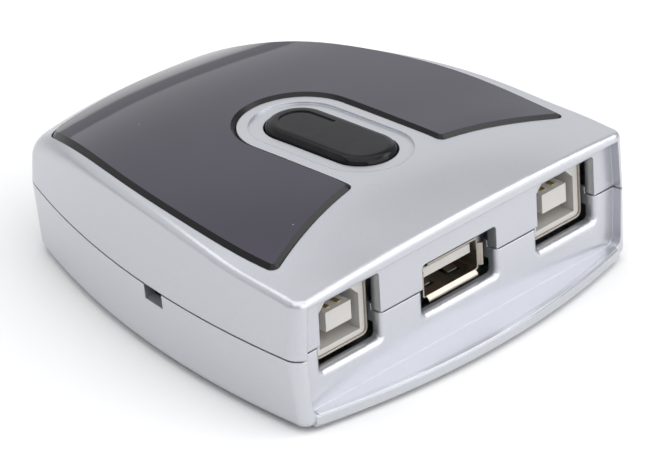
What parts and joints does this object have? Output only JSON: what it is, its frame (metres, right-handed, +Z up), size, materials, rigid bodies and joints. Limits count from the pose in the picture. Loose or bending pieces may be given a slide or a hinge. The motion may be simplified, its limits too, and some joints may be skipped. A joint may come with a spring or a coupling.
{
  "type": "usb sharing switch",
  "caption": "Desktop switch box that shares one USB device between computers: domed silver case, smoked panel, push button, socket row under a hood.",
  "frame": {"origin": "on the table plane under the middle of the bounding box", "axes": "+Z up through the button, -Y out of the sockets, +X to the right for someone facing the rear from the sockets"},
  "size_m": [0.0782, 0.0876, 0.0295],
  "materials": {
    "silver_paint": "satin",
    "smoked_plastic": "gloss",
    "black_gloss": "gloss",
    "black_plastic": "matte",
    "steel": "satin",
    "gold": "polished",
    "white_plastic": "satin",
    "board": "satin",
    "can": "satin",
    "led": "gloss",
    "clear": "gloss",
    "rubber": "matte",
    "label": "matte"
  },
  "bodies": {
    "case": {"top_shell": "silver_paint", "bottom_shell": "silver_paint", "smoked_panel": "smoked_plastic", "switch_body": "black_plastic", "switch_cover": "steel", "switch_terminals": "steel", "circuit_board": "board", "usb_a_shell": "steel", "usb_a_insulator": "white_plastic", "usb_a_contacts": "gold", "hub_chip": "black_plastic", "hub_chip_leads": "steel", "crystal": "steel", "capacitors": "can", "chip_resistors": "black_plastic", "case_screws": "steel", "board_screws": "steel", "rating_label": "label", "usb_b_left_shell": "steel", "usb_b_left_insulator": "white_plastic", "usb_b_left_contacts": "gold", "led_left": "led", "light_guide_left": "clear", "usb_b_right_shell": "steel", "usb_b_right_insulator": "white_plastic", "usb_b_right_contacts": "gold", "led_right": "led", "light_guide_right": "clear", "foot_front_left": "rubber", "foot_front_right": "rubber", "foot_rear_left": "rubber", "foot_rear_right": "rubber"},
    "button": {"button_cap": "black_gloss"},
    "plunger": {"switch_plunger": "black_plastic"}
  },
  "joints": [
    {"name": "button_press", "type": "slide", "parent": "case", "child": "button", "axis": [0, 0, -1], "range_m": [0, 0.0005], "stiffness_N_per_m": 2000},
    {"name": "plunger_press", "type": "slide", "parent": "case", "child": "plunger", "axis": [0, 0, -1], "range_m": [0, 0.0005]}
  ],
  "couplings": [
    {"joint": "plunger_press", "follows": "button_press", "ratio": 1}
  ]
}
